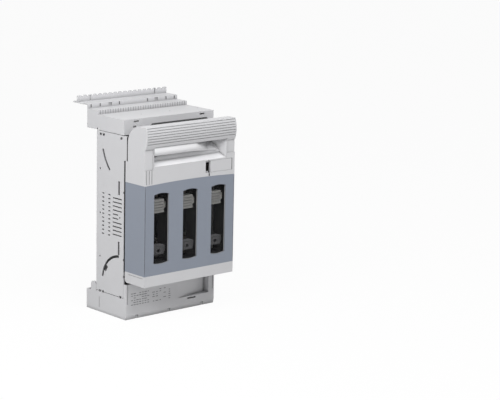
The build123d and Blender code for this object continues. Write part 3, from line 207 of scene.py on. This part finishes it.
def moulding(name, colour, roughness, grain=0.6, mottle=0.03, edge=0.0005, fade=None):
    """Plastic as it leaves a mould: fine grain, a faint mottle, softened edges slightly paler with
    wear and a painted highlight.

    The colour wanders between two shades with a slow noise, gets paler where the rounded normal
    leaves the flat one, which is along edges, as wear and a painted highlight, and takes painted
    shade where other surfaces crowd a point. With fade, it turns into a second colour between two
    values of X.
    """
    cloud_scale, cloud_detail, gloss_spread = 35, 3, 0.06
    grain_scale, grain_depth = 2600, 0.00004
    flat_agreement, edge_agreement, edge_share = 1.0, 0.85, 0.3
    paler_times, paler_plus, palest = 1.25, 0.01, 0.9
    painted_shade_distance, painted_shade_samples, painted_shade_share = 0.006, 8, 0.75

    material = bpy.data.materials.new(name)
    material.use_nodes = True
    tree = material.node_tree
    new, link = tree.nodes.new, tree.links.new
    shader = tree.nodes["Principled BSDF"]
    shader.inputs["IOR"].default_value = 1.5
    place = new("ShaderNodeTexCoord").outputs["Object"]
    cloud = noise(tree, place, cloud_scale, cloud_detail)
    base = mixed(tree, cloud, tuple(channel * (1 - mottle) for channel in colour),
                 tuple(channel * (1 + mottle) for channel in colour))
    if fade:
        fade_from, fade_to, second = fade
        apart = new("ShaderNodeSeparateXYZ")
        link(place, apart.inputs["Vector"])
        along_x = ranged(tree, apart.outputs["X"], 0, 1, fade_from, fade_to, "SMOOTHSTEP")
        base = mixed(tree, along_x, base, second)

    fine = noise(tree, place, grain_scale)
    rounded = roughen(tree, shader, edge, fine, grain, grain_depth)
    # Paler edges: wear and a painted edge highlight, where the rounded normal leaves the flat one.
    agree = new("ShaderNodeVectorMath")
    agree.operation = "DOT_PRODUCT"
    link(rounded, agree.inputs[0])
    link(new("ShaderNodeNewGeometry").outputs["Normal"], agree.inputs[1])
    worn_and_highlit_edge = ranged(tree, agree.outputs["Value"], 0, edge_share, flat_agreement, edge_agreement)
    paler = tuple(min(palest, channel * paler_times + paler_plus) for channel in colour)
    worn_and_highlit = mixed(tree, worn_and_highlit_edge, base, paler)

    # Painted shade: darker where other surfaces crowd a point, in crevices and cavities.
    painted_crevice_shade = new("ShaderNodeAmbientOcclusion")
    painted_crevice_shade.samples = painted_shade_samples
    painted_crevice_shade.inputs["Distance"].default_value = painted_shade_distance
    link(worn_and_highlit, painted_crevice_shade.inputs["Color"])
    link(mixed(tree, painted_shade_share, worn_and_highlit, painted_crevice_shade.outputs["Color"]), shader.inputs["Base Color"])
    link(ranged(tree, cloud, roughness - gloss_spread, roughness + gloss_spread),
         shader.inputs["Roughness"])
    return material


def dress(material, slot):
    """Give one material to every node of a slot."""
    for name, owner in slot_of.items():
        if owner == slot:
            mesh = nodes[name].data
            mesh.materials.clear()
            mesh.materials.append(material)


black = moulding("black_plastic", (0.018, 0.018, 0.019), 0.55, grain=0.9)
dress(black, "black_moulding")


def add_piece(name, points, faces, material, body, crease):
    """A piece from points in millimetres, smooth but for edges that turn more than the crease."""
    mesh = bpy.data.meshes.new(name)
    mesh.from_pydata((points.reshape(-1, 3) / 1000).tolist(), [], faces)
    skin = bmesh.new()
    skin.from_mesh(mesh)
    bmesh.ops.recalc_face_normals(skin, faces=skin.faces)
    skin.to_mesh(mesh)
    skin.free()
    mesh.shade_smooth()
    mesh.set_sharp_from_angle(angle=math.radians(crease))
    mesh.materials.append(material)
    piece = bpy.data.objects.new(name, mesh)
    bpy.context.scene.collection.objects.link(piece)
    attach(piece, body)


def grid_piece(name, grid, material, body, turn=False, crease=40):
    """A piece from a grid of points in millimetres, rows by columns by X, Y and Z.

    Neighbouring points of the grid make four-sided faces, and each row closes on itself. With
    turn, the last row also joins the first, and otherwise the two end rows get end faces.
    """
    rows, columns = grid.shape[:2]
    order = np.arange(rows * columns).reshape(rows, columns)
    order = np.concatenate([order, order[:, :1]], axis=1)
    if turn:
        order = np.concatenate([order, order[:1]], axis=0)
    corners = (order[:-1, :-1], order[1:, :-1], order[1:, 1:], order[:-1, 1:])
    faces = np.stack(corners, axis=-1).reshape(-1, 4).tolist()
    if not turn:
        faces += [order[0, :-1].tolist(), order[-1, :-1].tolist()]
    add_piece(name, grid, faces, material, body, crease)


both_sides = (("left", -1), ("right", 1))
# Black sheets as painted shade for the open bays behind the vents.
shade_sheet_x, shade_sheet_thick = 88.6, 1.2
shade_sheet_front_y, shade_sheet_back_y = -39.0, -0.3
shade_sheet_low_z, shade_sheet_high_z = 61.5, 288.0
shade_sheet_round_points = 9
for side_name, side in both_sides:
    # Section: a long slab with half-round ends, x against y, carried straight up.
    bend = np.linspace(-np.pi / 2, np.pi / 2, shade_sheet_round_points)
    reach = shade_sheet_thick / 2
    slab_x = np.concatenate([reach * np.sin(bend), -reach * np.sin(bend)]) + side * shade_sheet_x
    slab_y = np.concatenate([shade_sheet_back_y - reach + reach * np.cos(bend),
                             shade_sheet_front_y + reach - reach * np.cos(bend)])
    heights = np.array([shade_sheet_low_z, shade_sheet_high_z])
    shade_sheet = np.stack(np.broadcast_arrays(slab_x[None], slab_y[None], heights[:, None]), axis=-1)
    grid_piece(f"bay_shade_sheet_{side_name}", shade_sheet, black, "housing")

# Side walls: light grey moulded plates with vents and guide tracks, of the same plastic as the
# covers, the lid's shell and the lock. A black bead sits on each wall's front edge as painted
# shade in the seam towards the lid, and fills the seam without touching it.
light_grey = moulding("light_grey_plastic", (0.60, 0.60, 0.615), 0.42)
dress(light_grey, "light_grey_moulding")

# Black beads as painted shade in the seam between each wall and the lid.
bead_x, bead_half, bead_rise, bead_seat = 90.65, 1.15, 1.3, 0.05
bead_points, bead_rows = 13, 15
bead_taper, bead_end_share = 8, 0.3
bead_runs = (("lower", -41.0, 78.0, 258.2), ("upper", -47.5, 259.4, 297.4))
for side_name, side in both_sides:
    for run_name, edge_y, low_z, high_z in bead_runs:
        # Section: half an ellipse standing on the wall's edge, tapering off at the two ends.
        sweep = np.linspace(0, np.pi, bead_points)[None]
        along = np.linspace(0, 1, bead_rows)[:, None]
        taper = np.minimum(1, bead_taper * np.minimum(along, 1 - along) + bead_end_share)
        shade_bead = np.stack(np.broadcast_arrays(
            side * bead_x + bead_half * np.cos(sweep),
            edge_y + bead_seat - bead_rise * np.sin(sweep) * taper,
            low_z + (high_z - low_z) * along), axis=-1)
        grid_piece(f"seam_shade_bead_{run_name}_{side_name}", shade_bead, black, "housing")


# Contacts and claws: silver-plated copper, softly brushed. Their bolts, nuts and screws and the
# hinge pins are zinc-plated steel. Round each jaw sits a closed ring of zinc-plated spring wire,
# pushed over both cheeks, that presses them together.
def metal(name, colour, roughness, spread):
    """Metal whose roughness wanders with a stretched noise, as rolled or plated stock does."""
    streak_scale, streak_stretch = 900, (1, 1, 0.06)
    tarnish_scale, tarnish_detail, tarnish_share = 60, 4, 0.86
    edge, streak_strength, streak_depth = 0.0004, 0.25, 0.00003

    material = bpy.data.materials.new(name)
    material.use_nodes = True
    tree = material.node_tree
    shader = tree.nodes["Principled BSDF"]
    shader.inputs["Metallic"].default_value = 1
    place = tree.nodes.new("ShaderNodeTexCoord").outputs["Object"]
    stretch = tree.nodes.new("ShaderNodeMapping")
    stretch.inputs["Scale"].default_value = streak_stretch
    tree.links.new(place, stretch.inputs["Vector"])
    streak = noise(tree, stretch.outputs["Vector"], streak_scale)
    tree.links.new(ranged(tree, streak, roughness - spread, roughness + spread),
                   shader.inputs["Roughness"])
    tarnish = noise(tree, place, tarnish_scale, tarnish_detail)
    duller = tuple(channel * tarnish_share for channel in colour)
    tree.links.new(mixed(tree, tarnish, duller, colour), shader.inputs["Base Color"])
    roughen(tree, shader, edge, streak, streak_strength, streak_depth)
    return material


dress(metal("silver_plate", (0.72, 0.69, 0.63), 0.32, 0.08), "silvered_copper")
zinc = metal("zinc_plate", (0.60, 0.60, 0.57), 0.36, 0.06)
dress(zinc, "zinc_steel")


def squared(wave, power):
    """One coordinate of a superellipse: a sine or cosine raised to a power, its sign kept."""
    return np.sign(wave) * np.abs(wave) ** power


pole_pitch = 58.8
poles = ((1, -pole_pitch), (2, 0.0), (3, pole_pitch))
wire_r, wire_points = 0.8, 10
ring_half_x, ring_half_z, ring_y, ring_points, ring_power = 4.65, 12.9, -42.0, 72, 1 / 3
for place_name, jaw_z in (("upper", 206.5), ("lower", 102.5)):
    for pole, pole_x in poles:
        # Path: a squared-off oval (sixth-power superellipse) in X and Z; a round tube follows it.
        turn_angle = np.linspace(0, 2 * np.pi, ring_points, endpoint=False)
        path = np.stack([ring_half_x * squared(np.cos(turn_angle), ring_power),
                         ring_half_z * squared(np.sin(turn_angle), ring_power)], axis=-1)
        ahead = np.roll(path, -1, axis=0) - np.roll(path, 1, axis=0)
        outward = np.stack([ahead[:, 1], -ahead[:, 0]], axis=-1)
        outward /= np.linalg.norm(outward, axis=1, keepdims=True)
        round_angle = np.linspace(0, 2 * np.pi, wire_points, endpoint=False)
        lift = wire_r * np.cos(round_angle)
        wire = np.stack(np.broadcast_arrays(
            pole_x + path[:, :1] + outward[:, :1] * lift,
            ring_y + wire_r * np.sin(round_angle)[None],
            jaw_z + path[:, 1:] + outward[:, 1:] * lift), axis=-1)
        grid_piece(f"jaw_spring_{place_name}_{pole}", wire, zinc, "housing",
                   turn=True, crease=80)

# Arc chutes: stacks of splitter plates between cheeks of pressed grey fibre, dry and dull, pushed
# into the chassis round the foot of each jaw.
fibre = moulding("arc_fibre", (0.16, 0.145, 0.125), 0.75, grain=1.0, mottle=0.08)
dress(fibre, "fibre_board")

# Bottom cover: light grey as the walls. The rating print on its apron is left out; plain short
# dashes of pad-printed ink, a few hundredths of a millimetre proud, keep its rows.
ink = moulding("grey_ink", (0.10, 0.10, 0.11), 0.6, grain=0.2)

apron_y = -48.5
ink_thick, ink_sunk, ink_high = 0.05, 0.02, 1.0
row_zs = 42.0 - 3.7 * np.arange(6)
column_xs = np.concatenate([
    np.linspace(-80, -47, 7), np.linspace(-36, -22, 3), np.linspace(-13, -3, 2)])
shortest_half, longest_half = 0.8, 2.3
sparse_from_x, sparse_gaps, dense_gaps = -40, 0.45, 0.15
chance = np.random.default_rng(7)
mid_x, mid_z = (spots.ravel() for spots in np.meshgrid(column_xs, row_zs))
dash_half = chance.uniform(shortest_half, longest_half, mid_x.size)
gaps = np.where(mid_x > sparse_from_x, sparse_gaps, dense_gaps)
kept = chance.uniform(0, 1, mid_x.size) > gaps
mid_x, mid_z, dash_half = mid_x[kept], mid_z[kept], dash_half[kept]
# Outline of a dash: two half circles joined by straight runs; one ring in front, one behind.
ring_size = 12
ring_angle = (np.arange(ring_size) + 0.5) * 2 * np.pi / ring_size
ring_x = (mid_x[:, None] + np.sign(np.cos(ring_angle)) * dash_half[:, None]
          + ink_high / 2 * np.cos(ring_angle))
ring_z = mid_z[:, None] + ink_high / 2 * np.sin(ring_angle)
fronts = np.stack([ring_x, np.full_like(ring_x, apron_y - ink_thick), ring_z], axis=-1)
backs = np.stack([ring_x, np.full_like(ring_x, apron_y + ink_sunk), ring_z], axis=-1)
first_of = 2 * ring_size * np.arange(mid_x.size)[:, None]
loop = np.arange(ring_size)
after = np.roll(loop, -1)
band = np.stack([after, loop, loop + ring_size, after + ring_size], axis=-1)
dash_faces = (first_of + loop).tolist() + (first_of + ring_size + loop[::-1]).tolist()
dash_faces += (first_of[:, None] + band).reshape(-1, 4).tolist()
add_piece("apron_dashes", np.stack([fronts, backs], axis=1), dash_faces, ink, "lower_cover",
          crease=0)

# Handle of the lid: a bar moulded in one with it swells out right under the grip band and eases
# back into the pocket on the right; fingertips hook under it, over a sloping lip. Bar and lip are
# polished faces of the mould, and their paler colour is a painted sheen. The painted sheen fades
# out with the bar towards the right, into painted shade where the bar turns away.
painted_sheen_colour, polish_rough = (0.78, 0.78, 0.795), 0.3
polished_with_painted_sheen = moulding("polished_plastic_painted_sheen", painted_sheen_colour, polish_rough, grain=0.15, mottle=0.015)
# The paler colour fades out between these values of X into a grey a little darker than the walls:
# painted shade where the bar turns away into the pocket.
painted_sheen_fading = moulding("painted_sheen_fading_to_shade", painted_sheen_colour, polish_rough, grain=0.15, mottle=0.015,
                  fade=(0.018, 0.046, (0.56, 0.56, 0.575)))

lid_front_y, pocket_low_z, pocket_half, end_play = -94.5, 254.5, 74.5, 0.1
ramp_slope = 33.0 / 31.0
bar_rises = np.array([31.0, 29.5, 27.5, 25.5, 23.5, 21.8, 20.2, 18.8, 17.6, 16.7, 16.1, 15.8,
                      15.8, 19.0, 25.0, 31.0])
bar_depths = np.array([0.6, -0.1, -0.9, -1.5, -1.8, -1.6, -1.0, 0.1, 1.7, 3.9, 6.5, 9.3,
                       13.0, 15.5, 18.0, 20.0])
bar_right, bar_eases_from, bar_stations, last_shown_point = 60.0, 6.0, 110, 11
end_low_rise, end_inset, end_skin = 12.0, 3.5, 0.6
stations = np.linspace(end_play - pocket_half, bar_right, bar_stations)[:, None]
ease = np.clip((stations - bar_eases_from) / (bar_right - bar_eases_from), 0, 1)
ease = ease * ease * (3 - 2 * ease)
# Section: the bar's own profile on the left, easing by a smooth step into the pocket's ramp.
top_rise, low_rise = bar_rises.max(), bar_rises.min()
end_rises = top_rise - (top_rise - bar_rises) * (top_rise - end_low_rise) / (top_rise - low_rise)
end_depths = ramp_slope * end_rises - end_inset
end_depths[last_shown_point + 1:] += end_skin
bar = np.stack(np.broadcast_arrays(
    stations,
    lid_front_y + bar_depths * (1 - ease) + end_depths * ease,
    pocket_low_z + bar_rises * (1 - ease) + end_rises * ease), axis=-1)
grid_piece("handle_bar", bar, painted_sheen_fading, "lid", crease=50)

lip_depths = np.array([0.1, 2.0, 6.0, 10.0, 12.5, 12.9, 0.4])
lip_rises = np.array([0.2, 1.5, 3.9, 6.0, 7.2, 5.2, 0.05])
lip_stations = 31
lip_along = np.linspace(end_play - pocket_half, pocket_half - end_play, lip_stations)[:, None]
# Section: a thin wedge with a slightly crowned top, carried along X.
lip = np.stack(np.broadcast_arrays(
    lip_along, lid_front_y + lip_depths, pocket_low_z + lip_rises), axis=-1)
# The lip wears the same paler colour, a painted sheen.
grid_piece("handle_lip", lip, polished_with_painted_sheen, "lid", crease=30)

# Slanted end of the pocket: a web moulded with the lid runs from the right front edge in to the
# ramp, so that its free edge climbs obliquely from the pocket's lower corner.
web_slant, web_thick, web_lean, web_inset = 0.68, 1.0, 0.3, 0.15
web_low_rise, web_rows, web_columns = 0.5, 24, 12
rises = np.linspace(web_low_rise, top_rise, web_rows)[:, None]
inward = np.linspace(0, 1, web_columns)[None] * rises * ramp_slope
# Surface: rise against depth; x shrinks from the pocket's end by a fixed share of the depth.
front_sheet = np.stack(np.broadcast_arrays(
    pocket_half - web_slant * inward,
    lid_front_y + web_inset + inward,
    pocket_low_z + rises), axis=-1)
back_sheet = front_sheet + np.array([web_thick, web_lean, 0])
web = np.concatenate([front_sheet, back_sheet[:, ::-1]], axis=1)
web[:, :, 0] = np.minimum(web[:, :, 0], pocket_half - end_play)
grid_piece("pocket_web", web, light_grey, "lid")

# A black strip stands in the hood's long slot as painted shade for the gap behind the hood's
# crest, with a rounded top that stands a little above the hood's slope.
strip_end, strip_y, strip_half = 57.6, -65.5, 2.8
strip_low_z, strip_top_z, strip_crown = 309.5, 318.4, 2.6
strip_end_run, strip_end_sink = 3, 2.0
over_points, strip_stations = 13, 41
over = np.linspace(0, np.pi, over_points)
strip_along = np.linspace(-strip_end, strip_end, strip_stations)[:, None]
strip_full = np.clip((strip_end - np.abs(strip_along)) / strip_end_run, 0, 1) ** 0.5
# Section: upright sides under a half ellipse; the top sinks along a quarter round at each end.
section_y = np.append(strip_y + strip_half * np.cos(over),
                      [strip_y - strip_half, strip_y + strip_half])
section_z = np.append(strip_top_z - strip_crown + strip_crown * np.sin(over),
                      [strip_low_z, strip_low_z])
sink = strip_end_sink * (1 - strip_full) * (np.arange(section_z.size) < over_points)
shade_strip = np.stack(np.broadcast_arrays(strip_along, section_y, section_z - sink), axis=-1)
grid_piece("hood_slot_shade_strip", shade_strip, black, "lid")

# Lid panel: a blue-grey moulding of its own, let into the lid's front and sides. Its side leaves
# fold back at the corners, where a thin black thread in the parting line is painted shade.
blue_grey = moulding("blue_grey_plastic", (0.235, 0.262, 0.315), 0.40)
dress(blue_grey, "blue_grey_moulding")

# Black threads as painted shade in the corner parting lines.
thread_x, thread_half, thread_rise, thread_sunk = 91.5, 0.36, 0.12, 0.03
thread_points, thread_rows, thread_taper, thread_end_share = 9, 25, 12, 0.3
panel_low_z, panel_high_z = 80.8, 225.4
for side_name, side in both_sides:
    # Section: half an ellipse sunk a little into the panel's face, thinning out at both ends.
    sweep = np.linspace(0, np.pi, thread_points)[None]
    along = np.linspace(0, 1, thread_rows)[:, None]
    thin = np.minimum(1, thread_taper * np.minimum(along, 1 - along) + thread_end_share)
    seam_shade_thread = np.stack(np.broadcast_arrays(
        side * thread_x + thread_half * np.cos(sweep) * thin,
        lid_front_y + thread_sunk - (thread_rise + thread_sunk) * np.sin(sweep) * thin,
        panel_low_z + (panel_high_z - panel_low_z) * along), axis=-1)
    grid_piece(f"corner_seam_shade_{side_name}", seam_shade_thread, black, "lid")

# Windows: thin panes of clear smoked plastic, glossy, set in behind the panel's openings. They
# take away so little light that the grips show.
pane = bpy.data.materials.new("smoked_pane")
pane.use_nodes = True
pane_shader = pane.node_tree.nodes["Principled BSDF"]
pane_shader.inputs["Base Color"].default_value = (0.02, 0.021, 0.024, 1)
pane_shader.inputs["Roughness"].default_value = 0.08
pane_shader.inputs["Alpha"].default_value = 0.08
dress(pane, "smoked_window")

# Window tunnels: behind each pane a black moulded frame reaches back between the lid's pillars, so
# that only the fuse grips show inside. The grips' wings key into its sides.
tunnel_half_x, tunnel_half_z, tunnel_mid_z = 18.9, 57.6, 154.6
tunnel_front_y, tunnel_back_y, tunnel_wall = -89.8, -62.0, 0.8
tunnel_points, tunnel_power = 64, 0.12
bend = np.linspace(0, 2 * np.pi, tunnel_points, endpoint=False)[:, None]
for pole, pole_x in poles:
    # Path: a nearly square oval in X and Z; section: a thin wall between the front and the back.
    wall_out = np.array([0, 0, 1, 1]) * tunnel_wall
    tunnel = np.stack(np.broadcast_arrays(
        pole_x + squared(np.cos(bend), tunnel_power) * (tunnel_half_x - wall_out),
        np.array([tunnel_front_y, tunnel_back_y, tunnel_back_y, tunnel_front_y]),
        tunnel_mid_z + squared(np.sin(bend), tunnel_power) * (tunnel_half_z - wall_out)), axis=-1)
    grid_piece(f"window_tunnel_{pole}", tunnel, black, "lid", turn=True)

# Fuse grips: satin moulded blocks that hold the two ends of each fuse in the lid, pale and ribbed
# above, dark with a round hole below.
dress(moulding("pale_grip_plastic", (0.86, 0.86, 0.83), 0.45), "pale_grip")
dress(moulding("dark_grip_plastic", (0.17, 0.17, 0.18), 0.5), "dark_grip")
